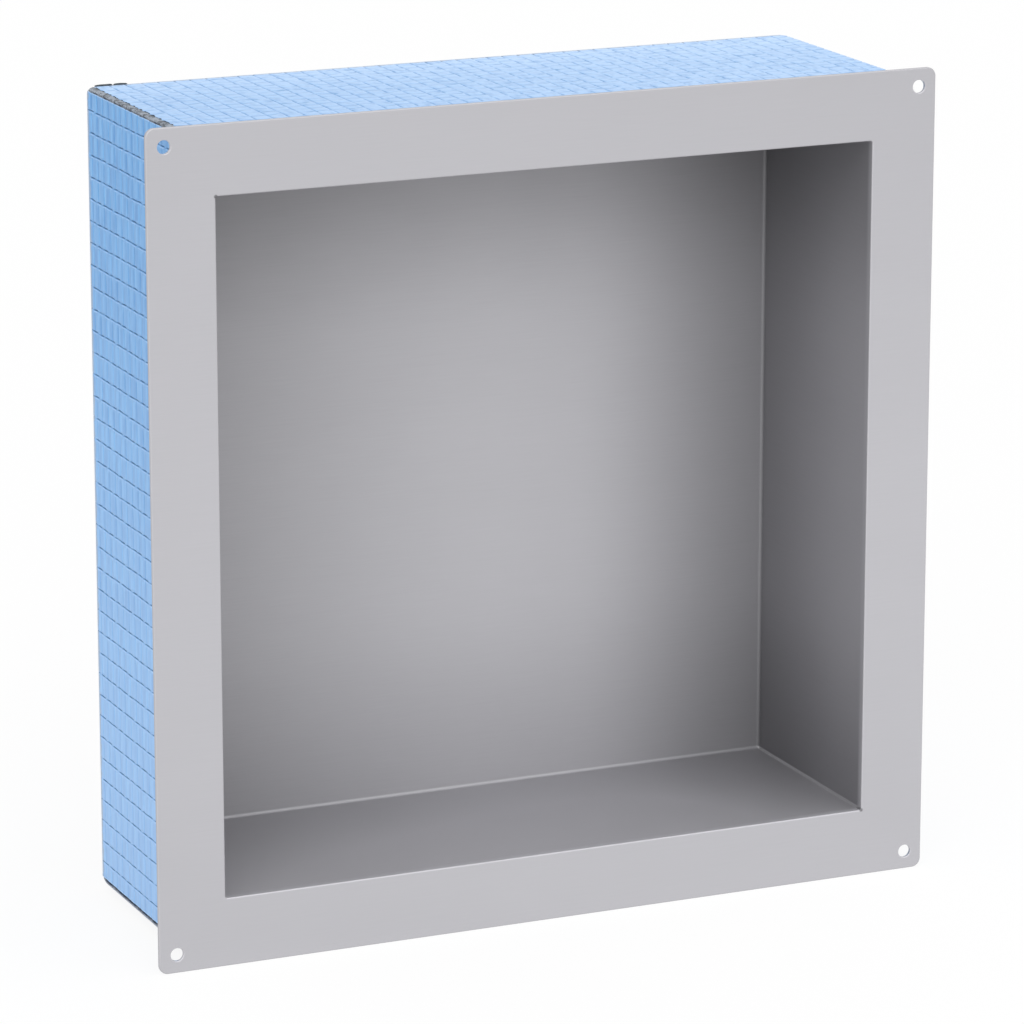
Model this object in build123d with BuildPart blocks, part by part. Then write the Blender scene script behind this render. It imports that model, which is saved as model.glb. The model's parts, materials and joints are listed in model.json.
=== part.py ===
import os

from build123d import *

# Shower niche insert: a folded and welded steel niche with a screw flange, set in a foam block
# that is covered on five sides by scored mats.
# Frame: X to the right, Y into the wall, Z up. The wall's face is Y = 0, and the origin is
# at the middle of the screw holes.

# Steel niche
opening_width = 300.0
opening_height = 300.0
niche_depth = 100.0
sheet = 1.5
flange_rim = 30.0
flange_corner_radius = 4.0
flange_edge_radius = 0.5
hole_diameter = 5.8
hole_inset = 8.0
hole_deburr = 0.25
lip_radius = 0.6
wall_corner_radius = 1.0
fold_radius = 1.5

# Foam block, measured outwards from the steel
side_insulation = 10.4
top_insulation = 23.4
bottom_insulation = 21.4
back_insulation = 10.4

# Scored mats
mat_thickness = 2.6
mat_corner_radius = 3.5
mat_back_radius = 2.0
mat_edge_radius = 0.8
side_score_pitch = 9.6
cap_score_pitch = 7.3
score_width = 1.0
score_depth = 0.7

# Worked out from the sizes above
flange_width = opening_width + 2 * flange_rim
flange_height = opening_height + 2 * flange_rim
hole_spacing_x = flange_width - 2 * hole_inset
hole_spacing_z = flange_height - 2 * hole_inset
steel_width = opening_width + 2 * sheet
steel_height = opening_height + 2 * sheet
steel_depth = niche_depth + sheet
core_width = steel_width + 2 * side_insulation
core_top = steel_height / 2 + top_insulation
core_bottom = -steel_height / 2 - bottom_insulation
core_height = core_top - core_bottom
core_depth = steel_depth + back_insulation
mat_half_width = core_width / 2 + mat_thickness
mat_top_level = core_top + mat_thickness
mat_bottom_level = core_bottom - mat_thickness
clad_depth = core_depth + mat_thickness

wall_face = Plane.XZ


def scored_mat(outer_face, length, run, pitch, bare_ends=(), rounded=True):
    """A mat whose outer face lies on a plane that points inwards. It has a V score every pitch along
    the plane's X, cut along the plane's Y. Each bare end, given by its place along X, has a worn arris.
    The far end of the run may be rounded, both over its outer arris and at its two corners."""
    bands = round(length / pitch)
    score_places = [(length * band / bands, 0) for band in range(1, bands)]
    score_run = run - mat_back_radius if rounded else run
    depth_plane = Plane(outer_face.origin, x_dir=outer_face.y_dir, z_dir=outer_face.x_dir)
    section_plane = Plane(outer_face.origin, x_dir=outer_face.x_dir, z_dir=-outer_face.y_dir)
    with BuildPart() as mat:
        with BuildSketch(depth_plane) as depth:
            Rectangle(run, mat_thickness, align=(Align.MIN, Align.MIN))
            if rounded:
                fillet(depth.vertices().sort_by_distance((run, 0))[0], mat_back_radius)
        extrude(amount=length)
        if rounded:
            with BuildSketch(outer_face) as plan:
                Rectangle(length, run, align=(Align.MIN, Align.MIN))
                fillet(plan.vertices().sort_by(Axis.Y)[-2:], mat_corner_radius)
            extrude(amount=mat_thickness, mode=Mode.INTERSECT)
        for end in bare_ends:
            inner = mat_edge_radius if end == 0 else end - mat_edge_radius
            with BuildSketch(section_plane):
                with Locations((end, 0)):
                    Rectangle(2 * mat_edge_radius, 2 * mat_edge_radius)
                with Locations((inner, mat_edge_radius)):
                    Circle(mat_edge_radius, mode=Mode.SUBTRACT)
            extrude(amount=-run, mode=Mode.SUBTRACT)
        with BuildSketch(section_plane):
            with Locations(*score_places):
                Polygon(
                    (-score_width / 2, 0),
                    (0, -score_depth),
                    (score_width / 2, 0),
                    (0, score_depth),
                    align=None,
                )
        extrude(amount=-score_run, mode=Mode.SUBTRACT)
    return mat


# Steel niche: the cavity's form thickened outwards, then the flange round its mouth
with BuildPart() as niche_body:
    with BuildSketch(wall_face):
        RectangleRounded(opening_width, opening_height, wall_corner_radius)
    extrude(amount=-niche_depth)
    cavity_back = niche_body.faces().sort_by(Axis.Y)[-1]
    fillet(cavity_back.edges(), fold_radius)
    mouth = niche_body.faces().sort_by(Axis.Y)[0]
    offset(amount=sheet, openings=mouth)
    with BuildSketch(wall_face):
        RectangleRounded(flange_width, flange_height, flange_corner_radius)
        RectangleRounded(opening_width, opening_height, wall_corner_radius, mode=Mode.SUBTRACT)
        with GridLocations(hole_spacing_x, hole_spacing_z, 2, 2):
            Circle(hole_diameter / 2, mode=Mode.SUBTRACT)
    extrude(amount=sheet)
    flange_front = niche_body.faces().sort_by(Axis.Y)[0]
    *hole_rims, lip = flange_front.inner_wires().sort_by(SortBy.LENGTH)
    flange_rim_edges = flange_front.outer_wire().edges()
    hole_rim_edges = [rim.edge() for rim in hole_rims]
    fillet(lip.edges(), lip_radius)
    fillet(flange_rim_edges, flange_edge_radius)
    chamfer(hole_rim_edges, hole_deburr)

# Foam block: a tray that the steel box sits in, up to the flange's back
with BuildPart() as insulation_surround:
    with BuildSketch(wall_face):
        with Locations((0, (core_top + core_bottom) / 2)):
            Rectangle(core_width, core_height)
    extrude(amount=-core_depth)
    with BuildSketch(wall_face):
        Rectangle(steel_width, steel_height)
    extrude(amount=-steel_depth, mode=Mode.SUBTRACT)

# Side mats: the left one covers the ends of the top and bottom ones, the right one lies between them
left_length = mat_top_level - mat_bottom_level
left_face = Plane((-mat_half_width, 0, mat_top_level), x_dir=(0, 0, -1), z_dir=(1, 0, 0))
mat_left = scored_mat(left_face, left_length, clad_depth, side_score_pitch, bare_ends=(0, left_length))

right_face = Plane((mat_half_width, 0, core_bottom), x_dir=(0, 0, 1), z_dir=(-1, 0, 0))
mat_right = scored_mat(right_face, core_height, clad_depth, side_score_pitch)

# Top and bottom mats, between the left mat and their bare ends over the right mat
cap_length = 2 * mat_half_width - mat_thickness
top_face = Plane((mat_half_width, 0, mat_top_level), x_dir=(-1, 0, 0), z_dir=(0, 0, -1))
mat_top = scored_mat(top_face, cap_length, clad_depth, cap_score_pitch, bare_ends=(0,))

bottom_face = Plane((mat_thickness - mat_half_width, 0, mat_bottom_level), x_dir=(1, 0, 0), z_dir=(0, 0, 1))
mat_bottom = scored_mat(bottom_face, cap_length, clad_depth, cap_score_pitch, bare_ends=(cap_length,))

# Back mat, between the other four
back_face = Plane((-core_width / 2, clad_depth, core_top), x_dir=(0, 0, -1), z_dir=(0, -1, 0))
mat_back = scored_mat(back_face, core_height, core_width, side_score_pitch, rounded=False)

os.makedirs("parts", exist_ok=True)

niche_body.part.label = "niche_body"
export_step(niche_body.part, "parts/niche_body.step")
insulation_surround.part.label = "insulation_surround"
export_step(insulation_surround.part, "parts/insulation_surround.step")
mat_left.part.label = "mat_left"
export_step(mat_left.part, "parts/mat_left.step")
mat_right.part.label = "mat_right"
export_step(mat_right.part, "parts/mat_right.step")
mat_top.part.label = "mat_top"
export_step(mat_top.part, "parts/mat_top.step")
mat_bottom.part.label = "mat_bottom"
export_step(mat_bottom.part, "parts/mat_bottom.step")
mat_back.part.label = "mat_back"
export_step(mat_back.part, "parts/mat_back.step")
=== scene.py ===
import json
import math

import bpy
import numpy as np
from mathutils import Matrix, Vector


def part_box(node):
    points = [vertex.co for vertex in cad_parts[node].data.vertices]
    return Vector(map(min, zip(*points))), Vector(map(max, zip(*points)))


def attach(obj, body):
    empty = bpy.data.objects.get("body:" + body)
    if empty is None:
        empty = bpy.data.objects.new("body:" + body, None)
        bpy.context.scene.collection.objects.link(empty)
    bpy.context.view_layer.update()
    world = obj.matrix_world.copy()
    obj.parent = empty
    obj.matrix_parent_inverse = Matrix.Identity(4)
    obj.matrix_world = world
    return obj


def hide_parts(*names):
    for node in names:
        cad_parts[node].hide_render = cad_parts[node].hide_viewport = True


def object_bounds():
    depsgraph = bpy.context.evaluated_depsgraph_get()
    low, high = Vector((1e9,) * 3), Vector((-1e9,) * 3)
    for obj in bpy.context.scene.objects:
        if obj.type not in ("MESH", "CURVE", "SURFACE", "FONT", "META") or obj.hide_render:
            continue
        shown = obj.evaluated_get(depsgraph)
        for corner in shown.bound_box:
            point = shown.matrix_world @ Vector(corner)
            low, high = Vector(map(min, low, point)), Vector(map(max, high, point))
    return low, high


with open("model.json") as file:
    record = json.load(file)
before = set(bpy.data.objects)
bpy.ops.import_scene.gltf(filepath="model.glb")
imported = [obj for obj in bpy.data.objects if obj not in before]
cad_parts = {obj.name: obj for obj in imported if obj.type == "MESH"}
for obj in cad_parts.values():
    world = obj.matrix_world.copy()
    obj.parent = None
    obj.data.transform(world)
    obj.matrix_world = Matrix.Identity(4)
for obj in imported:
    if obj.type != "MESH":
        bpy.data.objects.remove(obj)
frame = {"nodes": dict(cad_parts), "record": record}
cad_bounds = [list(corner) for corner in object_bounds()]

bl_info = {
    "name": "Shower niche insert",
    "version": (1, 0, 0),
    "blender": (4, 5, 0),
    "location": "3D View > Sidebar > Niche",
    "description": "Finishes a steel shower niche and lays the scored mats on its foam block",
    "category": "Object",
}

MM = 0.001
BODY = "root"
WHITE = (1.0, 1.0, 1.0, 1.0)
BLACK = (0.0, 0.0, 0.0)

# How each mat lies: the way across its scores, the way into the foam, and how its two ends are cut
MAT_LAYOUT = {
    "mat_left": {"across": (0, 0, -1), "inwards": (1, 0, 0), "near": "worn", "far": "frayed"},
    "mat_right": {"across": (0, 0, 1), "inwards": (-1, 0, 0), "near": "butted", "far": "butted"},
    "mat_top": {"across": (-1, 0, 0), "inwards": (0, 0, -1), "near": "eased", "far": "butted"},
    "mat_bottom": {"across": (1, 0, 0), "inwards": (0, 0, 1), "near": "butted", "far": "eased"},
    "mat_back": {"across": (0, 0, -1), "inwards": (0, -1, 0), "near": "butted", "far": "butted"},
}

# The mats on top and below, called cap mats
CAP_MATS = ("mat_top", "mat_bottom")
FIRST_MAT_SEED = 11

# How many rows of an end's section show the bare core
BARE_ROWS = {"butted": 5, "worn": 13, "frayed": 13, "eased": 6}

# Depths of the rows up an end, as shares of the thickness, the last row of a butted end, and the painted
# shade on each of its rows
END_DEPTHS = (1.0, 0.78, 0.56, 0.36)
BUTTED_DEPTH = 0.06
BUTTED_SHADE = (0.0, 0.0, 0.4, 0.9, 1.0)

# Groove beside the arris of each other kind of end, in millimetres: its width, its depth and the strip of
# core before it
END_GROOVES = {"worn": (0.7, 0.4, 0.1), "frayed": (1.1, 0.9, 0.5), "eased": (0.7, 0.0, 0.1)}

# Places across a score, in half widths from its root. Past 1 they lie on the lip beside it
PLAIN_FLANKS = (-1.0, 0.0, 1.0)
FINE_FLANKS = (-1.0, -0.4, 0.0, 0.4, 1.0)
LIPPED_FLANKS = (-1.0, -0.5, 0.0, 0.5, 1.0, 1.3, 1.9, 2.3)

# Stations round the back edge, in degrees, and beside the line where the blue is worn
BACK_TURN = (0.0, 16.0, 32.0, 48.0, 68.0, 90.0)
RIM_STEPS = (-0.5, 0.0, 0.5)

# How far a cap mat's first and last scores run through, before that is held between 0 and 1
RUNS_THROUGH = (-2.75, 2.25)

# Lengths of the sine waves in the random curves, in millimetres
STRAY_WAVES = (23.0, 61.0, 9.0)
RIPPLE_WAVES = (5.0, 17.0, 11.0)
NICK_WAVES = (19.0, 31.0, 9.0)
STREAK_WAVES = (3.7, 5.1, 7.0, 11.0)
FRAY_WAVES = (2.9, 6.1, 15.0)
TOOTH_WAVES = (7.6, 4.6)
WEAR_WAVES = (4.0, 7.0, 23.0)
SWING_WAVES = (29.0, 17.0, 11.0)
SWELL_WAVES = (9.0, 5.2)

# Scales of the noises in the materials, in repeats a metre, for all axes or for each
CLOUD_SCALE = 28.0
SMEAR_SCALE = (9.0, 9.0, 34.0)
BEAD_GRAIN_SCALE = 1400.0
FIBRE_SCALE = 70.0
FIBRE_CROSS_SCALE = 750.0
PORE_SCALE = 900.0
PATCH_SCALE = 45.0
FLECK_SCALE = (300.0, 130.0, 300.0)
RIPPLE_SCALE = (140.0, 420.0, 140.0)
LUMP_SCALE = 300.0
CRUMB_SCALE = 1700.0
EDGE_BEAD_SCALE = 700.0

# Bands over which the painted shade, the frosted seams and the painted highlights on the steel set in or
# die out
MOUTH_BAND = (0.0, 3.0 * MM)
BACK_FOLD_BAND = (1.6 * MM, 0.6 * MM)
SEAM_BAND = (0.5 * MM, 1.1 * MM)
LIP_BAND = (0.4 * MM, 0.9 * MM)
LIP_END = 0.5 * MM
HOLE_RING = 0.6 * MM

# How much narrower the record's box for goods is than the steel's hollow, on each side
OPENING_GAP = 1.0 * MM

# The bead's break as shares of its length, its depth for its height, and its place before the back edge
BEAD_BREAK = (0.56, 0.57)
BEAD_FLATNESS = 1.3
BEAD_INSET = 1.4 * MM
BEAD_SEED = 29

SHARP_ANGLE = math.radians(38.0)

# The ways to the far lamps, and where the low panels stand, in metres, with the way their backs point
LAMPS = {"key": (0.15, -0.35, 1.0), "front": (-0.42, -0.83, 0.48)}
LAMP_SPREAD = math.radians(60.0)
PANELS = {
    "side": ((-0.78, -0.1, -0.1), (-1.0, 0.0, 0.0)),
    "low": ((0.2, -0.45, -0.1), (0.0, -1.0, 0.0)),
}
PANEL_FORM = {"shape": "RECTANGLE", "size": 0.6, "size_y": 0.15}
FLOOR_HALF = 24.0
FLOOR_GAP = 0.1 * MM
FLOOR_POINTS = 5


def a_number(name, description, default, **kind):
    """Setting that holds a number."""
    return bpy.props.FloatProperty(name=name, description=description, default=default, **kind)


def a_length(name, description, default):
    """Setting that holds a length."""
    return a_number(name, description, default, unit="LENGTH")


def a_share(name, description, default):
    """Setting that holds a share from 0 to 1."""
    return a_number(name, description, default, subtype="FACTOR", min=0.0, max=1.0)


def a_colour(name, description, default):
    """Setting that holds a colour."""
    kind = {"subtype": "COLOR", "size": 3, "min": 0.0, "max": 1.0}
    return bpy.props.FloatVectorProperty(name=name, description=description, default=default, **kind)


class SteelSettings(bpy.types.PropertyGroup):
    """Looks of the folded steel."""

    colour: a_colour("Steel colour", "Colour that the bare steel reflects", (0.468, 0.464, 0.486))
    roughness: a_share("Roughness", "How matt the satin brushing is", 0.66)
    brush_width: a_length("Brush width", "Width of one brushed line", 0.35 * MM)
    brush_length: a_length("Brush length", "Length of one brushed line", 24.0 * MM)
    brush_strength: a_share("Brush strength", "How far the brushing changes colour and roughness", 0.3)
    # Painted shade: the next two settings darken the steel's colour towards the folds inside the niche
    fold_shade_share: a_share("Fold dulling", "How much less light the steel reflects at a fold", 0.27)
    fold_reach: a_length("Fold reach", "How far the dulling goes out from a fold", 98.0 * MM)
    # Painted highlight: the next setting brightens the colour of the mouth's lower lip and the holes' rims
    highlight_gain: a_number("Ground gain", "How much brighter the ground edges are", 1.45)
    # Painted highlight: the next setting brightens the colour of the frosted seams in the four corners
    seam_highlight_gain: a_number("Seam gain", "How much brighter the frosted seams are", 1.08)
    seam_pit: a_length("Corner pit", "Radius of the dark pits at two corners of the mouth", 1.1 * MM)


class FoamSettings(bpy.types.PropertyGroup):
    """Looks of the moulded foam block."""

    colour: a_colour("Foam colour", "Colour of the moulded foam", (0.42, 0.43, 0.44))
    bead: a_length("Bead size", "Size of one foam bead", 4.0 * MM)


class MatSettings(bpy.types.PropertyGroup):
    """Shape and looks of the scored mats."""

    deep_colour: a_colour("Deep colour", "Colour of the face's darker streaks", (0.055, 0.25, 0.57))
    pale_colour: a_colour("Pale colour", "Colour of the face's lighter streaks", (0.13, 0.38, 0.715))
    # Painted highlight: the lip beside each score is coloured paler, as where it catches the light
    lip_highlight_colour: a_colour("Lip colour", "Colour of the raised lip beside a score", (0.5, 0.7, 1.0))
    # Painted shade at the roots of the scores
    score_shade_colour: a_colour("Score colour", "Colour at the root of a score", (0.08, 0.185, 0.35))
    # Painted light: the top and bottom mats, and the others towards their foot, are made paler towards the
    # next colour
    faded_colour: a_colour("Faded colour", "Colour that the blue fades to", (0.49, 0.69, 0.985))
    # Painted shade in the joints between the mats and in the grooves at their ends
    joint_shade_colour: a_colour("Joint colour", "Colour of the joints and the grooves", (0.025, 0.045, 0.08))
    # Painted light on the arris of a frayed end, which lies in shade
    arris_light_colour: a_colour("Scuff colour", "Colour of a frayed end's scuffed arris", (0.4, 0.41, 0.48))
    core_colour: a_colour("Core colour", "Colour of the core at the cut edges", (0.29, 0.325, 0.375))
    worn_colour: a_colour("Worn colour", "Colour of the back rim's worn blue", (0.3, 0.35, 0.43))
    long_pitch: a_length("Long pitch", "Spacing of the scores on the side and back mats", 9.6 * MM)
    short_pitch: a_length(
        "Short pitch", "Spacing of the scores on the top and bottom mats and of all cross scores", 7.3 * MM
    )
    score_width: a_length("Score width", "Width of a score at the face", 0.85 * MM)
    score_depth: a_length("Score depth", "Depth of a score where it is deepest", 0.6 * MM)
    cross_width: a_length("Cross score width", "Width of a score that crosses the others", 0.6 * MM)
    cross_depth: a_length("Cross score depth", "Depth of a score that crosses the others", 0.2 * MM)
    cap_gain: a_number("Cap gain", "How much wider the scores of the top and bottom mats are", 1.7)
    crown: a_length("Crown", "How far the face drops from the middle of a field to its scores", 0.1 * MM)
    wander: a_length("Wander", "How far a score strays from a straight line", 0.15 * MM)
    cross_wander: a_length("Cross wander", "How far a cross score strays on top and below", 0.9 * MM)
    arris: a_length("Arris radius", "Rounding of the worn edges", 0.7 * MM)
    back_radius: a_length("Back radius", "Rounding of the back edge", 2.0 * MM)
    corner_radius: a_length("Corner radius", "Rounding of the back corners, seen square on", 3.5 * MM)
    soft_corner: a_length("Soft corner", "Rounding of a bare end's arris at the back edge", 3.4 * MM)
    joint: a_length("Joint", "Widest gap where one mat butts against another", 1.3 * MM)
    bare_rim: a_length("Bare rim", "Strip along the back edge where the blue is worn thin", 3.4 * MM)


class EdgeBeadSettings(bpy.types.PropertyGroup):
    """Shape and looks of the dark bead on the top mat's back edge."""

    # Colour of the dark bead on the top mat's back edge
    colour: a_colour("Adhesive colour", "Colour of the set adhesive", (0.012, 0.02, 0.03))
    start: a_length("Start", "Distance of the bead's first end from the mat's left end", 0.8 * MM)
    length: a_length("Length", "Length of the broken bead", 15.0 * MM)
    height: a_length("Height", "Half the bead's height", 0.5 * MM)


class StageSettings(bpy.types.PropertyGroup):
    """Camera, light and floor."""

    lens: a_number("Lens", "Focal length of the camera", 189.4, unit="CAMERA")
    aim: bpy.props.FloatVectorProperty(
        name="Aim",
        description="Point that the camera looks at",
        subtype="TRANSLATION",
        unit="LENGTH",
        size=3,
        default=(-0.0179, 0.0, 0.0034),
    )
    distance: a_length("Distance", "Distance from the camera to its aim", 2.2768)
    azimuth: a_number(
        "Azimuth", "Camera's turn to the right, seen from above", math.radians(-23.816), subtype="ANGLE"
    )
    elevation: a_number(
        "Elevation", "Camera's height over the aim, as an angle", math.radians(14.654), subtype="ANGLE"
    )
    floor_colour: a_colour("Floor colour", "Colour of the studio floor", (0.88, 0.88, 0.88))
    sky: a_number("Sky", "Strength of the even light from all round", 0.6)
    key: a_number("Key lamp", "Strength of the soft lamp overhead", 1.0)
    front: a_number("Front lamp", "Strength of the soft lamp beside the camera", 1.4)
    side: a_number("Side lamp", "Power of the low panel at the left", 0.5, unit="POWER")
    low: a_number("Low lamp", "Power of the low panel in front, at the right", 0.3, unit="POWER")


class Wire:
    """An output socket that takes part in arithmetic. Each operator adds one Math node."""

    def __init__(self, board, socket):
        self.board = board
        self.socket = socket

    def output(self, key):
        """Another output of the same node, by name or number."""
        return Wire(self.board, self.socket.node.outputs[key])

    def __add__(self, other):
        return self.board.maths("ADD", self, other)

    __radd__ = __add__

    def __sub__(self, other):
        return self.board.maths("SUBTRACT", self, other)

    def __rsub__(self, other):
        return self.board.maths("SUBTRACT", other, self)

    def __mul__(self, other):
        return self.board.maths("MULTIPLY", self, other)

    __rmul__ = __mul__

    def __abs__(self):
        return self.board.maths("ABSOLUTE", self)


class Board:
    """Adds nodes to one node tree."""

    def __init__(self, tree):
        self.tree = tree
        tree.nodes.clear()

    def add(self, kind, inputs=None, **settings):
        """One shader node of a kind: its settings first, then the values or links of its sockets."""
        node = self.tree.nodes.new("ShaderNode" + kind)
        for name, value in settings.items():
            setattr(node, name, value)
        for key, value in (inputs or {}).items():
            if isinstance(value, Wire):
                self.tree.links.new(value.socket, node.inputs[key])
            else:
                node.inputs[key].default_value = value
        return Wire(self, node.outputs[0]) if node.outputs else None

    def maths(self, operation, *values):
        """One Math node on values or wires."""
        return self.add("Math", dict(enumerate(values)), operation=operation)

    def step(self, value, low, high):
        """Smooth rise from 0 at low to 1 at high."""
        inputs = {"Value": value, "From Min": low, "From Max": high}
        return self.add("MapRange", inputs, interpolation_type="SMOOTHSTEP")

    def mix(self, share, first, second):
        """Colour that goes from the first to the second as share goes from 0 to 1."""
        inputs = {0: share, 6: opaque(first), 7: opaque(second)}
        return self.add("Mix", inputs, data_type="RGBA").output(2)

    def span(self, first, second):
        """Length of the line whose two parts are given."""
        return self.maths("SQRT", first * first + second * second)

    def place(self):
        """Place in the object's own frame, in metres."""
        return self.add("TexCoord").output("Object")

    def parts(self, vector):
        """The three parts of a vector."""
        split = self.add("SeparateXYZ", {0: vector})
        return [split.output(axis) for axis in "XYZ"]

    def noise(self, vector, scale, detail=2.0, roughness=0.5):
        """Soft noise from 0 to 1. Its scale is in repeats a metre, for all axes or for each of three."""
        if isinstance(scale, tuple):
            vector = self.add("VectorMath", {0: vector, 1: scale}, operation="MULTIPLY")
            scale = 1.0
        inputs = {"Vector": vector, "Scale": scale, "Detail": detail, "Roughness": roughness}
        return self.add("TexNoise", inputs)

    def attribute(self, name):
        """A number stored on the mesh's points."""
        return self.add("Attribute", attribute_name=name).output("Fac")

    def seen(self):
        """1 for what the camera sees, also by reflection or through a clear body, and 0 for other light."""
        path = self.add("LightPath")
        rays = path + path.output("Is Glossy Ray") + path.output("Is Transmission Ray")
        return self.maths("MINIMUM", rays, 1.0)

    def bump(self, height, distance, strength):
        """Normal of a surface raised by height times distance."""
        return self.add("Bump", {"Height": height, "Distance": distance, "Strength": strength})

    def surface(self, **inputs):
        """Principled shader on the material's output. Names have spaces where the keys have underlines."""
        named = {key.replace("_", " "): value for key, value in inputs.items()}
        shader = self.add("BsdfPrincipled", named)
        self.add("OutputMaterial", {"Surface": shader})


def opaque(colour):
    """Colour with its alpha, or a wire as it is."""
    if isinstance(colour, Wire):
        return colour
    return (colour[0], colour[1], colour[2], 1.0)


def shade(colour, factor):
    """Colour made darker or lighter by a factor."""
    return tuple(part * factor for part in colour)


def new_material(name):
    """Material with an empty node tree, and the board that fills it."""
    material = bpy.data.materials.new(name)
    material.use_nodes = True
    return material, Board(material.node_tree)


def fold_painted_shade(board, look, hollow, spot, sideways, level):
    """Where the niche's inside is, and the painted shade that darkens the steel's colour there. It darkens
    by a
    share towards each of five folds, each with a distance, a strength and a stretch of the common reach:
    furthest from the left one, least from the lower one, and less on the level walls. The upright folds at
    the back get more painted shade, right along them."""
    across, depth, height = spot
    folds = (
        (hollow[0] + across, 1.0 - 0.55 * level, 1.85),
        (hollow[0] - across, 1.25 - 0.35 * level, 1.0),
        (hollow[1] - height, 1.0, 1.0),
        (hollow[1] + height, 0.6 + 0.6 * sideways, 1.0),
        (hollow[2] - depth, 1.0 - 0.3 * level, 1.0),
    )
    # The last fold takes its whole share from the back wall, and the first value gives that back
    lit = 1.0 / (1.0 - look.fold_shade_share)
    for gap, share, stretch in folds:
        away = board.step(gap, 0.0, stretch * look.fold_reach)
        lit = lit * (1.0 - share * look.fold_shade_share * (1.0 - away))
    # More painted shade right along the upright folds at the back
    aside = board.step(abs(across), *(hollow[0] - edge for edge in BACK_FOLD_BAND))
    turned = aside * board.step(depth, *(hollow[2] - edge for edge in BACK_FOLD_BAND))
    inside = board.step(depth, *MOUTH_BAND)
    return inside, (1.0 - inside * (1.0 - lit)) * (1.0 - 0.27 * turned)


def steel_material(look, hollow, hole):
    """Satin brushed steel. The brushing runs along X on upright faces and along Y on level ones. Inside the
    niche its colour is darkened towards the folds, as painted shade. The seams along its four corners are
    frosted and coloured brighter, as a painted highlight. The lower lip of the mouth and the holes' rims
    are coloured brighter, as a painted highlight, and two opposite corners of the mouth have a small dark
    pit.
    Hollow is half the niche's width, half its height and its depth. Hole gives the middle and the radius of
    a screw hole's rim."""
    material, board = new_material("brushed_steel")
    place = board.place()
    facing = board.parts(board.add("NewGeometry").output("Normal"))
    sideways = abs(facing[0])
    level = abs(facing[2])
    fine = 1.0 / look.brush_width
    coarse = 1.0 / look.brush_length
    upright = board.noise(place, (coarse, coarse, fine), detail=3.0, roughness=0.6)
    flat = board.noise(place, (coarse, fine, coarse), detail=3.0, roughness=0.6)
    grain = upright + level * (flat - upright) - 0.5
    cloud = board.noise(place, CLOUD_SCALE, detail=3.0, roughness=0.55) - 0.5
    smear = board.noise(place, SMEAR_SCALE) - 0.5
    tone = 0.5 + look.brush_strength * 0.5 * grain + 0.35 * cloud + 0.25 * smear
    clean = board.mix(tone, shade(look.colour, 0.94), shade(look.colour, 1.06))
    spot = board.parts(place)
    # Painted shade: the colour is darkened towards the folds inside the niche
    inside, sheen_and_painted_shade = fold_painted_shade(board, look, hollow, spot, sideways, level)
    painted_shaded = board.mix(sheen_and_painted_shade, BLACK, clean)

    across, depth, height = spot
    side = abs(across)
    rise = abs(height)
    # Painted highlights: the seams in the four corners, the lower lip of the mouth and the holes' rims are
    # coloured brighter
    corner = board.maths("MAXIMUM", hollow[0] - side, hollow[1] - rise)
    seam = inside * (1.0 - board.step(corner, *SEAM_BAND))
    between = 1.0 - board.step(side, hollow[0] - LIP_END, hollow[0])
    lip = (1.0 - inside) * between * (1.0 - board.step(abs(height + hollow[1]), *LIP_BAND))
    from_hole = board.span(side - hole[0], rise - hole[0])
    ring = 1.0 - board.step(from_hole, hole[1], hole[1] + HOLE_RING)
    highlighted = board.maths("MINIMUM", 0.2 * lip + 0.3 * ring, 1.0)
    edged = board.mix(highlighted, painted_shaded, shade(look.colour, look.highlight_gain))
    bright = board.mix(0.75 * seam, edged, shade(look.colour, look.seam_highlight_gain))
    # X times Z falls below zero at the upper left and at the lower right
    crosswise = board.step(across * height, 0.0, -0.02)
    from_corner = board.span(side - hollow[0], rise - hollow[1])
    pit = crosswise * (1.0 - board.step(from_corner, 0.4 * look.seam_pit, look.seam_pit))
    colour = board.mix(pit * 0.75, bright, shade(look.colour, 0.25))
    roughness = look.roughness + look.brush_strength * 0.35 * grain + 0.06 * cloud
    normal = board.bump(grain, 0.02 * MM, 0.25)
    metallic = 1.0 - 0.85 * seam
    board.surface(Base_Color=colour, Metallic=metallic, Roughness=roughness, Normal=normal)
    return material


def foam_material(look):
    """Moulded bead foam: pale beads with darker joints, and a fine open grain."""
    material, board = new_material("moulded_foam")
    place = board.place()
    beads = {"Vector": place, "Scale": 1.0 / look.bead}
    joints = board.add("TexVoronoi", beads, feature="DISTANCE_TO_EDGE")
    bead = board.step(joints, 0.0, 0.16)
    grain = board.noise(place, BEAD_GRAIN_SCALE, roughness=0.6)
    tone = bead * 0.75 + grain * 0.25
    colour = board.mix(tone, shade(look.colour, 0.6), shade(look.colour, 1.08))
    roughness = 0.82 + 0.1 * (grain - 0.5)
    board.surface(Base_Color=colour, Roughness=roughness, Normal=board.bump(tone, 0.25 * MM, 0.6))
    return material


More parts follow.
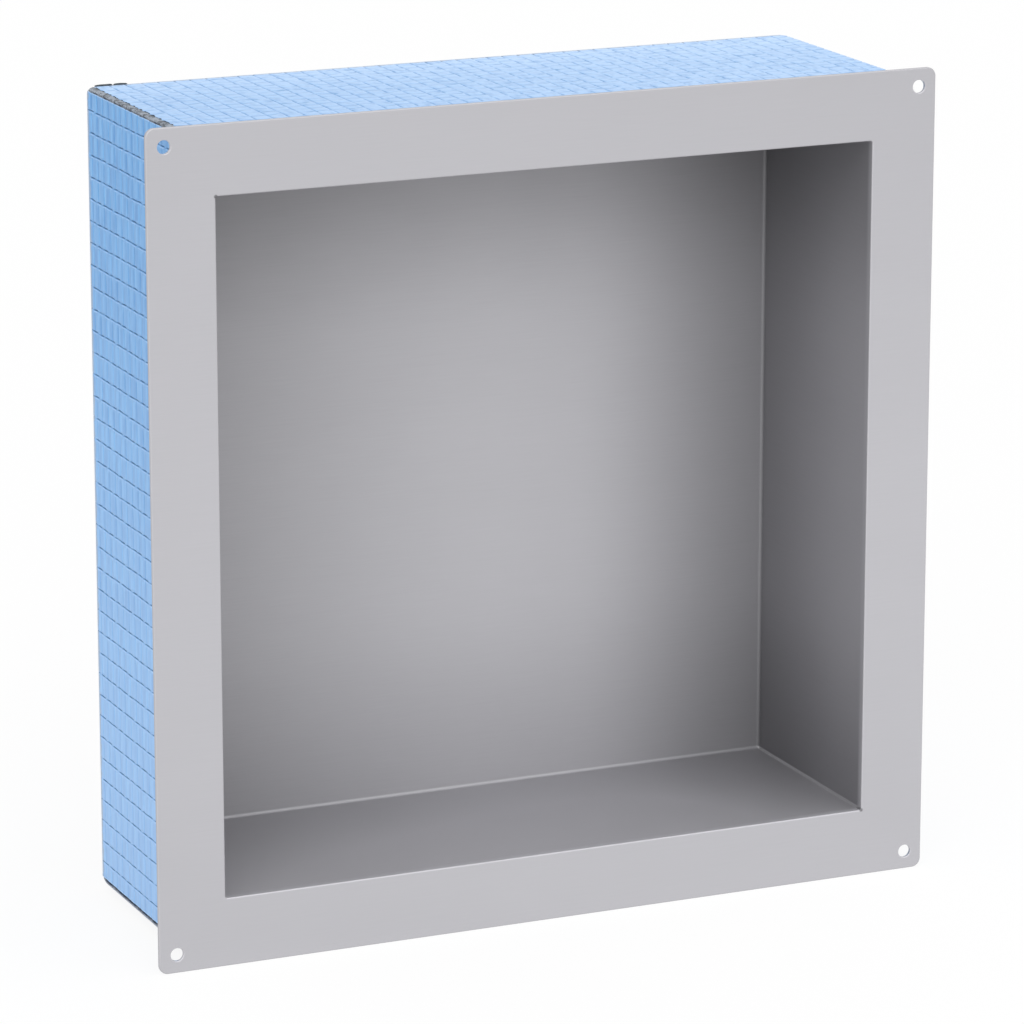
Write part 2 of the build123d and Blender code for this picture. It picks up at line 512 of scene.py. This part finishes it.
def face_material(look, across):
    """Blue scored face of a mat. The mesh gives how deep a point lies in a score, where painted shade
    darkens it, the raised lip beside it, which gets a painted highlight, the tone of the streaks between
    the scores and the wear of the back rim. Fibres run across the scores, along the given axis. The blue is
    flecked on the top and bottom mats, whose axis is X. Painted light makes it paler there, most towards
    the right and the back, and towards the foot of the others."""
    material, board = new_material("scored_face_" + "XYZ"[across])
    place = board.place()
    cap = across == 0
    stretch = [FIBRE_CROSS_SCALE] * 3
    stretch[across] = FIBRE_SCALE
    fibre = board.noise(place, tuple(stretch), roughness=0.6) - 0.5
    pore = board.noise(place, PORE_SCALE, detail=3.0, roughness=0.65) - 0.5
    patch = board.noise(place, PATCH_SCALE) - 0.5
    x, y, z = board.parts(place)
    # Painted light: the top and bottom mats paler overall, most towards the right and the back, and the
    # others paler towards their foot
    if cap:
        fade = 0.58 + 0.14 * board.step(x, -0.17, 0.17) + 0.17 * board.step(y, 0.06, 0.115)
    else:
        fade = 0.37 * (1.0 - board.step(z, -0.17, 0.19))
    score, streak, lip, wear = map(board.attribute, ("score", "streak", "lip", "wear"))
    fibre_share = 0.9 if cap else 1.7
    tone = 0.5 + 0.7 * streak + fibre_share * fibre + 0.3 * pore + 0.5 * patch
    clean = board.mix(tone, look.deep_colour, look.pale_colour)
    faded = board.mix(fade, clean, look.faded_colour)
    # Painted highlight on the lip beside each score
    lip_highlighted = board.mix(lip * 0.45, faded, look.lip_highlight_colour)
    thin = board.step(wear + 0.8 * pore, 0.2, 0.8)
    blue = board.mix(thin * 0.7, lip_highlighted, look.worn_colour)
    if cap:
        fleck, ripple = (board.noise(place, scale, detail=1.0) for scale in (FLECK_SCALE, RIPPLE_SCALE))
        marks = board.step(fleck, 0.52, 0.72) + board.step(ripple, 0.52, 0.72)
        blue = board.mix(0.27 * marks, blue, look.deep_colour)
    # Painted shade at the roots of the scores and the cross scores
    dark = board.step(score + 0.3 * pore, 0.05, 0.6)
    score_share = 0.42 if cap else 1.0
    colour = board.mix(score_share * dark, blue, look.score_shade_colour)
    roughness = 0.56 + 0.12 * pore + 0.2 * dark
    relief = 0.6 * fibre + 0.4 * pore + 0.35 * streak
    normal = board.bump(relief, 0.12 * MM, 0.5)
    sheen_and_painted_shade = 0.45 * (1.0 - dark)
    coat = {"Coat_Weight": sheen_and_painted_shade, "Coat_Roughness": 0.3}
    board.surface(Base_Color=colour, Roughness=roughness, Normal=normal, **coat)
    return material


def core_material(look):
    """Cut edge of a mat: a grey open core with dark torn pores, with painted light on a frayed end's arris,
    which lies in shade, and painted shade, nearly black, in the joints and grooves."""
    material, board = new_material("cut_core")
    place = board.place()
    score, lip = map(board.attribute, ("score", "lip"))
    lump = board.noise(place, LUMP_SCALE, detail=3.0, roughness=0.65)
    crumb = board.noise(place, CRUMB_SCALE, roughness=0.6)
    tear = board.step(0.65 * lump + 0.35 * crumb, 0.4, 0.57)
    pale = board.mix(crumb, shade(look.core_colour, 0.85), shade(look.core_colour, 1.35))
    torn = board.mix(tear, shade(look.core_colour, 0.3), pale)
    # Painted light on a frayed end's arris
    lightened = board.mix(lip * 0.85, torn, look.arris_light_colour)
    # Painted shade, nearly black, in the joints and the grooves
    colour = board.mix(board.step(score, 0.1, 0.7), lightened, look.joint_shade_colour)
    normal = board.bump(lump + 0.4 * crumb, 0.3 * MM, 0.7)
    board.surface(Base_Color=colour, Roughness=0.85, Normal=normal)
    return material


def edge_bead_material(look):
    """Dark bead: nearly black, with a soft uneven gloss."""
    material, board = new_material("set_adhesive")
    lump = board.noise(board.place(), EDGE_BEAD_SCALE)
    colour = board.mix(lump, shade(look.colour, 0.7), shade(look.colour, 1.6))
    roughness = 0.4 + 0.25 * lump
    board.surface(Base_Color=colour, Roughness=roughness, Normal=board.bump(lump, 0.2 * MM, 0.5))
    return material


def floor_material(look):
    """Studio floor: matt and pale, and white where the camera or a reflection sees it. A share of its
    own shading stays, so that the object's shadow shows."""
    material, board = new_material("studio_floor")
    matt = board.add("BsdfDiffuse", {"Color": opaque(look.floor_colour)})
    glow = board.add("Emission", {"Color": WHITE, "Strength": 1.0})
    mixed = board.add("MixShader", {0: board.seen() * 0.9, 1: matt, 2: glow})
    board.add("OutputMaterial", {"Surface": mixed})
    return material


def waves(random, rows, places, lengths):
    """Smooth random curves, one a row, from about -1 to 1: the mean of sine waves of the given lengths in
    millimetres, each with a phase of its own in each row."""
    phases = random.uniform(0.0, 2.0 * math.pi, (rows, 1, len(lengths)))
    turns = 2.0 * math.pi * places[None, :, None] / (MM * np.array(lengths))
    return 1.3 * np.sin(turns + phases).mean(axis=2)


class Ruling:
    """Stations across a scored width. Between the start and the end lie evenly spaced scores, each
    with stations on its shoulders, flanks and root, and on a lip where the flanks give places past 1.
    Each field between two scores has stations of its own.
    For every station: place; cut, from 0 on a field to 1 at a root; low and high, the scores on either
    side; share, the way from low to high; lip, 1 on the crest of a lip; on_field, 1 on a field."""

    def __init__(self, length, pitch, width, start, end, flanks, fields):
        self.bands = max(2, round(length / pitch))
        spacing = length / self.bands
        roots = spacing * np.arange(1, self.bands)
        flanks = np.array(flanks)
        fields = np.array(fields)
        lows = np.concatenate([[start], roots + width / 2 * flanks[-1]])
        highs = np.concatenate([roots + width / 2 * flanks[0], [end]])
        field_places = lows[:, None] + (highs - lows)[:, None] * fields
        score_places = roots[:, None] + width / 2 * flanks
        self.shapes = (field_places.shape, score_places.shape)
        order = np.arange(self.bands)[:, None]
        self.place = self.weave(field_places, score_places)
        self.cut = self.weave(0.0, np.maximum(1.0 - np.abs(flanks), 0.0))
        crest = np.minimum((flanks - 1.0) / 0.3, (2.3 - flanks) / 0.4)
        self.lip = self.weave(0.0, np.clip(crest, 0.0, 1.0))
        self.low = self.weave(order, order[1:])
        self.high = self.weave(order + 1, order[1:])
        self.share = self.weave(fields, 0.0)
        self.on_field = self.weave(1.0, 0.0)
        middle = len(fields) + int(np.argmin(np.abs(flanks)))
        self.roots = middle + (len(fields) + len(flanks)) * np.arange(self.bands - 1)
        self.root_places = roots

    def weave(self, *values):
        """Values on the fields and on the scores by turns, from the first field to the last."""
        on_fields, on_scores = (np.broadcast_to(*pair) for pair in zip(values, self.shapes))
        pairs = np.concatenate([on_fields[:-1], on_scores], axis=1)
        return np.concatenate([pairs.ravel(), on_fields[-1]])

    def crown(self):
        """From 0 in the middle of a field to 1 at its scores, as the square of the way out."""
        return np.where(self.on_field > 0, (2.0 * self.share - 1.0) ** 2, 1.0)

    def between(self, rows):
        """Rows given for the scores, carried over evenly to all stations."""
        share = self.share[:, None]
        return (1 - share) * rows[self.low] + share * rows[self.high]


def end_profile(kind, look, thickness):
    """Section of a mat's end, from its underside up to the face: distance in from the end, depth under the
    face, how dark it is, as painted shade in a butted joint and in a groove, and its lip, which also marks
    the arris of a frayed end for painted light. A butted end is a plain cut. The others have a rounded
    arris. At a worn end the blue stops at a narrow groove beside it, at a frayed end at a wide one with a
    flat strip of core between, and at an eased end it runs on to the arris."""
    rows = np.array(END_DEPTHS)
    if kind == "butted":
        depth = thickness * np.append(rows, BUTTED_DEPTH)
        return np.zeros(5), depth, np.array(BUTTED_SHADE), np.zeros(5)
    turn = np.radians([0.0, 30.0, 60.0, 90.0])
    radius = look.arris
    groove_width, groove_depth, core_strip = (size * MM for size in END_GROOVES[kind])
    shown = 0.0 if kind == "eased" else 1.0
    # Painted light goes on a frayed end's arris
    arris_light = 1.0 if kind == "frayed" else 0.0
    middle = radius + core_strip + groove_width / 2
    flanks = np.array(FINE_FLANKS)
    lip_places = middle + groove_width / 2 + np.array([0.25, 0.6]) * MM
    groove_places = middle + flanks * groove_width / 2
    inset = np.concatenate([np.zeros(4), radius * (1 - np.cos(turn)), groove_places, lip_places])
    groove = groove_depth * (1 - np.abs(flanks))
    depth = np.concatenate([thickness * rows, radius * (1 - np.sin(turn)), groove, [0.0, 0.0]])
    # Painted shade in the groove
    dark = shown * np.concatenate([np.zeros(8), 1 - 0.5 * np.abs(flanks), [0.0, 0.0]])
    lip = shown * np.concatenate([arris_light * np.ones(8), np.zeros(4), [0.5, 1.0, 0.0]])
    return inset, depth, dark, lip


class MatPlan:
    """Sizes and stations of one mat. Place runs across its scores, way along them from the front to the
    back, and depth from its face into the foam. For every station along the way: drop, how far the
    rounded back edge falls; cross_cut and cross_crown, the cut and the crown of the cross scores; and
    corner, from 0 to 1 towards the corners at the back."""

    def __init__(self, node, layout, look):
        low, high = (np.array(corner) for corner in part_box(node))
        size = high - low
        self.look = look
        self.layout = layout
        self.across = np.array(layout["across"], float)
        self.inwards = np.array(layout["inwards"], float)
        self.along = np.cross(self.inwards, self.across)
        self.origin = np.where(self.across + self.along + self.inwards > 0, low, high)
        self.length = abs(size @ self.across)
        self.run = abs(size @ self.along)
        self.thickness = abs(size @ self.inwards)
        self.is_back = node == "mat_back"
        self.cap = node in CAP_MATS
        self.ends = {end: end_profile(layout[end], look, self.thickness) for end in ("near", "far")}
        self.rim = 2.0 * look.arris if self.is_back else look.bare_rim
        self.rim_places = self.run - self.rim + np.array(RIM_STEPS) * MM
        self.rule_scores()
        self.set_stations()

    def rule_scores(self):
        """Rules the scores and the cross scores. The back mat has fewer stations to each."""
        look = self.look
        flanks = PLAIN_FLANKS if self.is_back else LIPPED_FLANKS
        cross_flanks = PLAIN_FLANKS if self.is_back else FINE_FLANKS
        fields = (0.5,) if self.is_back else (0.15, 0.5, 0.85)
        pitch = look.short_pitch if self.cap else look.long_pitch
        gain = look.cap_gain if self.cap else 1.0
        near_edge = self.ends["near"][0][-1]
        far_edge = self.length - self.ends["far"][0][-1]
        width = gain * look.score_width
        self.rule = Ruling(self.length, pitch, width, near_edge, far_edge, flanks, fields)
        cross_width = 1.2 * gain**2 * look.cross_width if self.cap else look.cross_width
        cross_end = self.rim_places[0] - 0.5 * MM
        self.cross = Ruling(self.run, look.short_pitch, cross_width, 0.0, cross_end, cross_flanks, fields)

    def set_stations(self):
        """Sets the stations along the way: the front edge, the cross scores, the rim and the back edge."""
        back_round = self.look.arris if self.is_back else self.look.back_radius
        back_turn = np.radians(BACK_TURN)
        tail = self.run - back_round + back_round * np.sin(back_turn)
        before = 1 + len(self.cross.place) + len(self.rim_places)
        extra = len(self.rim_places) + len(tail)
        self.station = np.concatenate([[0.0], self.cross.place, self.rim_places, tail])
        self.drop = np.concatenate([np.zeros(before), back_round * (1.0 - np.cos(back_turn))])
        self.cross_cut = np.concatenate([[0.0], self.cross.cut, np.zeros(extra)])
        self.cross_crown = np.concatenate([[1.0], self.cross.crown(), np.ones(extra)])
        corner_run = 2.5 * self.look.soft_corner
        corner = np.clip((self.station - self.run + corner_run) / corner_run, 0.0, 1.0)
        self.corner = corner * (0.0 if self.is_back else 1.0)

    def bites(self, ripple):
        """How deep each score cuts, as a share of its depth, along its way. On the top and bottom mats it
        breaks off at the crossings, and runs through towards the far end. On the others it is deepest
        there, so that it looks dashed."""
        dash = 0.5 + 0.5 * np.cos(2.0 * math.pi * self.station / (self.run / self.cross.bands))
        if self.cap:
            whole = np.clip(np.linspace(*RUNS_THROUGH, self.rule.bands + 1)[:, None], 0.0, 1.0)
            gap = (1.0 - whole) * dash**2 + 0.2 * whole * dash**5
            bite = 0.83 - 0.2 * whole - 0.7 * gap + (0.7 - 0.4 * whole) * ripple
        else:
            bite = 0.3 + 0.65 * dash + 0.3 * ripple
        return np.clip(bite, 0.05, 1.1)


def face_rows(plan, random):
    """Rows of stations over the scored face: place, depth, how dark, as painted shade in the scores, lip,
    which gets a painted highlight, and streak. The depth is the greater of two cuts, each a V, one at the
    scores and one at the cross scores, plus a crown that falls from the middle of each field, less a lip
    beside each score. The scores waver and die out at the back rim."""
    look = plan.look
    rule = plan.rule
    station = plan.station
    stray = look.wander * waves(random, rule.bands + 1, station, STRAY_WAVES)
    stray[[0, -1]] = 0.0
    ripple = waves(random, rule.bands + 1, station, RIPPLE_WAVES)
    bite = plan.bites(ripple)[rule.low]
    nick = 0.45 + 0.8 * waves(random, len(station), rule.place, NICK_WAVES).T
    nick = np.clip(nick, 0.05, 1.1)
    tones = waves(random, rule.bands + 2, station, STREAK_WAVES)
    to_back = np.clip((station - plan.rim_places[0]) / (2.0 * MM), 0.0, 1.0)
    main_cut = rule.cut[:, None] * bite
    main_depth = look.score_depth * main_cut * (1.0 - 0.8 * to_back)
    cross_depth = look.cross_depth * plan.cross_cut * nick
    # Painted shade in the cross scores
    cross_shade = (0.8 if plan.cap else 0.35) * plan.cross_cut * nick
    crown = look.crown * np.maximum(rule.crown()[:, None], plan.cross_crown)
    lip = rule.lip[:, None] * np.clip(bite, 0.0, 1.0) * (1.0 - to_back)
    place = rule.place[:, None] + rule.between(stray)
    depth = np.maximum(main_depth, cross_depth) + crown - 0.7 * look.crown * lip
    dark = np.maximum(main_cut, cross_shade)
    return place, depth, dark, lip, tones[rule.low] * rule.on_field[:, None]


def end_rows(plan, random, end):
    """Rows of stations up one end: place, depth, how dark, lip and streak. The cut is ragged, or toothed
    where it butts against another mat, and has a nick at each cross score."""
    look = plan.look
    kind = plan.layout[end]
    inset, depth, dark, lip = (values[:, None] for values in plan.ends[end])
    fray = waves(random, len(inset), plan.station, FRAY_WAVES)
    if kind == "butted":
        tooth = waves(random, 1, plan.station, TOOTH_WAVES)
        ragged = np.clip(0.42 + 0.6 * tooth, 0.08, 1.0) * look.joint
    else:
        ragged = 0.07 * MM * (1.0 + fray)
    edge = np.clip(1.0 - depth / (0.5 * plan.thickness), 0.0, 1.0)
    notch = look.cross_depth * 1.4 * plan.cross_cut * edge
    rough = 0.4 + 0.8 * fray if kind == "worn" else 0.75 + 0.4 * fray
    rough = rough * (1.0 - 0.8 * plan.corner)
    place = inset + ragged + notch * (inset < 0.5 * MM)
    deep = depth + notch * (depth < 0.9 * plan.thickness)
    # Painted shade in the joint or the groove, uneven along it, and at each cross score's nick
    tone = np.clip(dark * rough + 0.6 * plan.cross_cut * edge, 0.0, 1.0)
    return place, deep, tone, np.broadcast_to(lip, place.shape), np.zeros_like(place)


def soften(place, deep, radius, kind, end, sense):
    """Draws the square arris of a bare end in to a quarter circle whose radius changes along the mat.
    Points inside the corner's square keep their direction from the circle's centre, and their greater
    distance along the sides becomes their distance from it."""
    if kind == "butted":
        return place, deep
    out = np.maximum(radius - sense * (place - end), 0.0)
    up = np.maximum(radius - deep, 0.0)
    share = np.maximum(out, up) / np.maximum(np.hypot(out, up), 1e-9)
    inside = (out > 0) & (up > 0)
    softened = end + sense * (radius - out * share)
    return np.where(inside, softened, place), np.where(inside, radius - up * share, deep)


def round_edges(plan, random, place, deep):
    """Place, depth and way of all stations, with the edges rounded and the cross scores made to waver. The
    back edge is a quarter circle. The two corners there are drawn in to a circle's arc, and the arris of a
    bare end grows rounder towards them. The back mat has neither."""
    look = plan.look
    if not plan.is_back:
        soft = look.soft_corner * plan.corner**2 * (3.0 - 2.0 * plan.corner)
        place, deep = soften(place, deep, soft, plan.layout["near"], 0.0, 1.0)
        place, deep = soften(place, deep, soft, plan.layout["far"], plan.length, -1.0)
    deep = deep + plan.drop * np.clip(1.0 - deep / plan.thickness, 0.0, 1.0)
    wander = look.cross_wander if plan.cap else look.wander
    swing = wander * waves(random, plan.cross.bands + 1, place[:, 0], SWING_WAVES)
    swing[[0, -1]] = 0.0
    way = np.repeat(plan.station[None, :], len(place), axis=0)
    way[:, 1 : 1 + len(plan.cross.place)] += plan.cross.between(swing).T
    if not plan.is_back:
        radius = look.corner_radius
        from_end = np.clip(np.minimum(place, plan.length - place), 0.0, radius)
        drawn = 0.93 * (radius - np.sqrt(np.maximum(radius**2 - (radius - from_end) ** 2, 0.0)))
        last = np.clip((way - (plan.run - radius)) / radius, 0.0, 1.0)
        way = way - drawn * last
    return place, deep, way


def mat_surface(node, layout, look, seed):
    """Closed surface of one scored mat. Its two parameters are the way round its section and the way
    along it. The section goes from the underside up the near end, across the face and down the far end,
    and back along the underside. Returns points, faces, which faces are bare core, and the values of each
    point: how dark its score is, the tone of its streak, its lip and its wear."""
    random = np.random.default_rng(seed)
    plan = MatPlan(node, layout, look)
    face = face_rows(plan, random)
    near = end_rows(plan, random, "near")
    far = [rows[::-1] for rows in end_rows(plan, random, "far")]
    far[0] = plan.length - far[0]
    under_place = np.repeat(plan.rule.root_places[::-1, None], len(plan.station), axis=1)
    blank = np.zeros_like(under_place)
    under = (under_place, np.full_like(under_place, plan.thickness), blank, blank, blank)
    place, deep, dark, lip, streak = (np.concatenate(rows) for rows in zip(near, face, far, under))
    worn_from = plan.run - plan.rim + 0.6 * MM * waves(random, 1, place[:, 0], WEAR_WAVES).T
    wear = np.clip((plan.station - worn_from) / (0.8 * MM) + 0.5, 0.0, 1.0)
    place, deep, way = (part[..., None] for part in round_edges(plan, random, place, deep))
    points = plan.origin + place * plan.across + way * plan.along + deep * plan.inwards
    faces, bare = mat_faces(plan, len(near[0]), len(place) - len(under_place))
    values = {"score": dark.ravel(), "streak": streak.ravel(), "lip": lip.ravel(), "wear": wear.ravel()}
    return points.reshape(-1, 3), faces, bare, values


def mat_faces(plan, near_rows, chain):
    """Faces over the mat's grid: quads round the section and along it, and one face for each band at
    the two ends of the run. Faces of the ends and the underside show the core. Near_rows is how many rows
    the near end has, and chain how many there are up to the underside."""
    bands = plan.rule.bands
    count = len(plan.station)
    total = chain + bands - 1
    ring = np.arange(total)
    order = np.arange(count - 1)
    here = ring[:, None] * count + order
    there = np.roll(ring, -1)[:, None] * count + order
    quads = np.stack([here, here + 1, there + 1, there], axis=-1)
    near_bare, far_bare = (BARE_ROWS[plan.layout[end]] for end in ("near", "far"))
    on_face = (ring >= near_bare - 1) & (ring < chain - far_bare)
    bare = np.repeat(~on_face, count - 1)
    splits = np.concatenate([[0], near_rows + plan.rule.roots, [chain - 1]])
    under = total - 1 - np.arange(bands - 1)
    front = []
    for band in range(bands):
        loop = list(range(splits[band], splits[band + 1] + 1))
        if band < bands - 1:
            loop.append(under[band])
        if band > 0:
            loop.append(under[band - 1])
        front.append(np.array(loop) * count)
    ends = [loop.tolist() for loop in front] + [(loop[::-1] + count - 1).tolist() for loop in front]
    faces = quads.reshape(-1, 4).tolist() + ends
    return faces, np.concatenate([bare, np.ones(len(ends), bool)])


def new_piece(name, points, faces, materials, slots, values):
    """Mesh object at the origin from points and faces, with a material slot for each face and numbers
    on its points. It rides on the body."""
    mesh = bpy.data.meshes.new(name)
    mesh.from_pydata(points.tolist(), [], faces)
    for material in materials:
        mesh.materials.append(material)
    mesh.polygons.foreach_set("material_index", np.asarray(slots, np.int32))
    for title, numbers in values.items():
        layer = mesh.attributes.new(title, "FLOAT", "POINT")
        layer.data.foreach_set("value", np.asarray(numbers, np.float32))
    mesh.shade_smooth()
    mesh.set_sharp_from_angle(angle=SHARP_ANGLE)
    if mesh.validate():
        raise RuntimeError(name + " has faces that are not valid")
    piece = bpy.data.objects.new(name, mesh)
    bpy.context.scene.collection.objects.link(piece)
    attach(piece, BODY)
    return piece


def finish_node(node, material):
    """Puts one material on a CAD node."""
    mesh = frame["nodes"][node].data
    mesh.materials.clear()
    mesh.materials.append(material)


def bead_surface(spans, radii, centre, seed):
    """Broken dark bead along X. Each span is a closed lens: rings whose two radii are those given, times
    one minus the eighth power of the way from its middle, and times a slow random swell. A pole closes each
    end."""
    random = np.random.default_rng(seed)
    rings = 26
    sides = 12
    turn = np.linspace(0.0, 2.0 * math.pi, sides, endpoint=False)
    way = np.linspace(-1.0, 1.0, rings + 2)[1:-1]
    taper = 1.0 - way**8
    ring = np.arange(rings - 1)[:, None] * sides
    corner = np.arange(sides)[None, :]
    following = (corner + 1) % sides
    above = ring + sides
    quads = np.stack([ring + corner, ring + following, above + following, above + corner], axis=-1)
    first_fan = [[rings * sides, b, a] for a, b in zip(corner[0], following[0])]
    last = (rings - 1) * sides
    last_fan = [[rings * sides + 1, last + a, last + b] for a, b in zip(corner[0], following[0])]
    shell = quads.reshape(-1, 4).tolist() + first_fan + last_fan
    points = []
    faces = []
    for start, end in spans:
        offset = sum(len(block) for block in points)
        middle = (start + end) / 2
        half = (end - start) / 2
        swell = taper * (1.0 + 0.15 * waves(random, 1, way * half, SWELL_WAVES)[0])
        along = np.repeat((middle + half * way)[:, None], sides, axis=1)
        depth = centre[0] + radii[0] * swell[:, None] * np.cos(turn)
        height = centre[1] + radii[1] * swell[:, None] * np.sin(turn)
        body = np.stack([along, depth, height], axis=-1).reshape(-1, 3)
        poles = np.array([[start, *centre], [end, *centre]])
        points.append(np.concatenate([body, poles]))
        faces += [[int(index) + offset for index in face] for face in shell]
    return np.concatenate(points), faces


class NICHE_OT_finish_steel(bpy.types.Operator):
    """Gives the folded steel niche its satin brushed finish"""

    bl_idname = "niche.finish_steel"
    bl_label = "Finish the steel"

    def execute(self, context):
        record = frame["record"]
        opening = record["physics"]["openings"][0]["box_m"]
        hollow = [opening[1][axis] + OPENING_GAP for axis in (0, 2, 1)]
        bolts = record["mounts"][0]["dims"]
        hole = (bolts["spacing_x_mm"] / 2 * MM, bolts["hole_r_mm"] * MM)
        finish_node("niche_body", steel_material(context.scene.niche_steel, hollow, hole))
        return {"FINISHED"}


class NICHE_OT_finish_foam(bpy.types.Operator):
    """Gives the foam block between the steel and the mats its beaded finish"""

    bl_idname = "niche.finish_foam"
    bl_label = "Finish the foam block"

    def execute(self, context):
        finish_node("insulation_surround", foam_material(context.scene.niche_foam))
        return {"FINISHED"}


class NICHE_OT_lay_mats(bpy.types.Operator):
    """Lays the five scored mats on the foam block"""

    bl_idname = "niche.lay_mats"
    bl_label = "Lay the scored mats"

    def execute(self, context):
        look = context.scene.niche_mats
        core = core_material(look)
        skins = {axis: face_material(look, axis) for axis in (0, 2)}
        for seed, (node, layout) in enumerate(MAT_LAYOUT.items(), start=FIRST_MAT_SEED):
            points, faces, bare, values = mat_surface(node, layout, look, seed)
            axis = int(np.argmax(np.abs(layout["across"])))
            piece = new_piece(node + "_scored", points, faces, [skins[axis], core], bare, values)
            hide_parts(node)
        return {"FINISHED"}


class NICHE_OT_run_edge_bead(bpy.types.Operator):
    """Runs the broken dark bead along the top mat's back edge, at its left end"""

    bl_idname = "niche.run_adhesive"
    bl_label = "Run the adhesive bead"

    def execute(self, context):
        look = context.scene.niche_adhesive
        low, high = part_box("mat_top")
        start = low.x + look.start
        breaks = [start + share * look.length for share in BEAD_BREAK]
        spans = [(start, breaks[0]), (breaks[1], start + look.length)]
        radii = (BEAD_FLATNESS * look.height, look.height)
        centre = (high.y - BEAD_INSET, high.z)
        points, faces = bead_surface(spans, radii, centre, BEAD_SEED)
        material = edge_bead_material(look)
        piece = new_piece("adhesive_bead", points, faces, [material], np.zeros(len(faces)), {})
        return {"FINISHED"}


class NICHE_OT_set_stage(bpy.types.Operator):
    """Sets the pale floor, the soft light and the camera"""

    bl_idname = "niche.set_stage"
    bl_label = "Set the stage"

    def execute(self, context):
        scene = context.scene
        look = scene.niche_stage
        self.lay_floor(scene, look)
        self.light_sky(scene, look)
        for key, towards in LAMPS.items():
            self.hang_lamp(scene, "SUN", key + "_lamp", getattr(look, key), towards, angle=LAMP_SPREAD)
        for key, (place, back) in PANELS.items():
            panel = self.hang_lamp(scene, "AREA", key + "_panel", getattr(look, key), back, **PANEL_FORM)
            panel.location = place
            panel.visible_camera = False
        self.place_camera(scene, look)
        scene.view_settings.view_transform = "Standard"
        return {"FINISHED"}

    def lay_floor(self, scene, look):
        """Flat grid under the object, just below its lowest point."""
        height = cad_bounds[0][2] - FLOOR_GAP
        place = np.linspace(-FLOOR_HALF, FLOOR_HALF, FLOOR_POINTS)
        x, y = np.meshgrid(place, place, indexing="ij")
        points = np.stack([x, y, np.full_like(x, height)], axis=-1).reshape(-1, 3)
        order = np.arange(FLOOR_POINTS - 1)
        corner = (order[:, None] * FLOOR_POINTS + order[None, :]).ravel()
        beyond = corner + FLOOR_POINTS
        faces = np.stack([corner, beyond, beyond + 1, corner + 1], axis=-1)
        mesh = bpy.data.meshes.new("studio_floor")
        mesh.from_pydata(points.tolist(), [], faces.tolist())
        mesh.materials.append(floor_material(look))
        floor = bpy.data.objects.new("studio_floor", mesh)
        scene.collection.objects.link(floor)

    def light_sky(self, scene, look):
        """Even light from all round, which is plain white to the camera and in reflections."""
        world = bpy.data.worlds.new("studio_sky")
        world.use_nodes = True
        scene.world = world
        board = Board(world.node_tree)
        soft = board.add("Background", {"Color": WHITE, "Strength": look.sky})
        plain = board.add("Background", {"Color": WHITE, "Strength": 1.0})
        mixed = board.add("MixShader", {0: board.seen(), 1: soft, 2: plain})
        board.add("OutputWorld", {"Surface": mixed})

    def hang_lamp(self, scene, kind, name, strength, back, **form):
        """Lamp of a kind whose back points in a direction."""
        lamp = bpy.data.lights.new(name, kind)
        lamp.energy = strength
        for key, value in form.items():
            setattr(lamp, key, value)
        return self.hold(scene, name, lamp, Vector(back))

    def hold(self, scene, name, data, back):
        """Object that holds a lamp or a camera, with its back turned in a direction."""
        holder = bpy.data.objects.new(name, data)
        holder.rotation_euler = back.to_track_quat("Z", "Y").to_euler()
        scene.collection.objects.link(holder)
        return holder

    def place_camera(self, scene, look):
        """Camera on a line from its aim, at an azimuth and an elevation."""
        flat = math.cos(look.elevation)
        aside = math.sin(look.azimuth) * flat
        back = Vector((aside, -math.cos(look.azimuth) * flat, math.sin(look.elevation)))
        camera = bpy.data.cameras.new("camera")
        camera.lens = look.lens
        camera.sensor_width = 36.0
        camera.clip_end = 100.0
        scene.camera = self.hold(scene, "camera", camera, back)
        scene.camera.location = Vector(look.aim) + look.distance * back


class NICHE_PT_panel(bpy.types.Panel):
    """Lists the niche's settings and operators in the 3D view's sidebar"""

    bl_idname = "NICHE_PT_panel"
    bl_label = "Shower niche insert"
    bl_space_type = "VIEW_3D"
    bl_region_type = "UI"
    bl_category = "Niche"

    def draw(self, context):
        for group, (title, settings, operator) in SECTIONS.items():
            box = self.layout.box()
            box.label(text=title)
            for key in settings.__annotations__:
                box.prop(getattr(context.scene, group), key)
            box.operator(operator.bl_idname)


# For each group of settings on the scene: its title, its class and the operator that uses it
SECTIONS = {
    "niche_steel": ("Steel", SteelSettings, NICHE_OT_finish_steel),
    "niche_foam": ("Foam block", FoamSettings, NICHE_OT_finish_foam),
    "niche_mats": ("Scored mats", MatSettings, NICHE_OT_lay_mats),
    "niche_adhesive": ("Adhesive", EdgeBeadSettings, NICHE_OT_run_edge_bead),
    "niche_stage": ("Stage", StageSettings, NICHE_OT_set_stage),
}
CLASSES = [cls for section in SECTIONS.values() for cls in section[1:]] + [NICHE_PT_panel]


def register():
    """Registers the classes and hangs their settings on the scene."""
    for cls in CLASSES:
        bpy.utils.register_class(cls)
    for group, section in SECTIONS.items():
        setattr(bpy.types.Scene, group, bpy.props.PointerProperty(type=section[1]))


def unregister():
    """Takes the settings and the classes away again."""
    for group in SECTIONS:
        delattr(bpy.types.Scene, group)
    for cls in reversed(CLASSES):
        bpy.utils.unregister_class(cls)


def main():
    """Builds the whole scene."""
    register()
    bpy.ops.niche.finish_steel()
    bpy.ops.niche.finish_foam()
    bpy.ops.niche.lay_mats()
    bpy.ops.niche.run_adhesive()
    bpy.ops.niche.set_stage()


if __name__ == "__main__":
    main()
